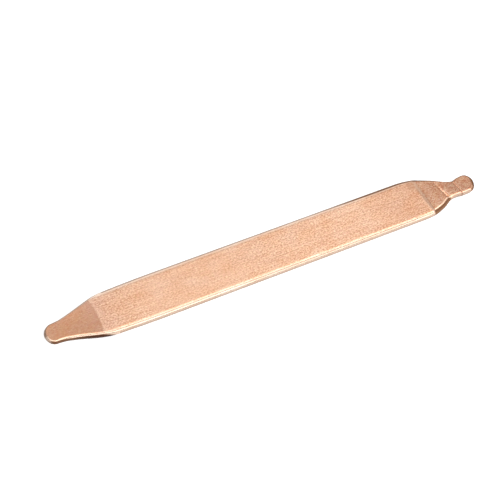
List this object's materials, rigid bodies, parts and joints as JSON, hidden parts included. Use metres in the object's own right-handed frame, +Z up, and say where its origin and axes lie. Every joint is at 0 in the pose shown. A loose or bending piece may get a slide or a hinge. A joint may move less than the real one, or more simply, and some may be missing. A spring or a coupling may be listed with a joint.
{
  "type": "flat heat pipe",
  "caption": "Flattened sealed copper heat pipe with a swaged spade end and a pinched fill nipple, for carrying heat from a chip to a heat sink.",
  "frame": {"origin": "centre of the overall length and width, on the flat underside", "axes": "+X along the pipe towards the fill nipple, +Y across its width, +Z up out of the flat top face"},
  "size_m": [0.1, 0.009, 0.002],
  "materials": {
    "copper": "satin"
  },
  "bodies": {
    "root": {"heat_pipe": "copper"}
  },
  "joints": []
}
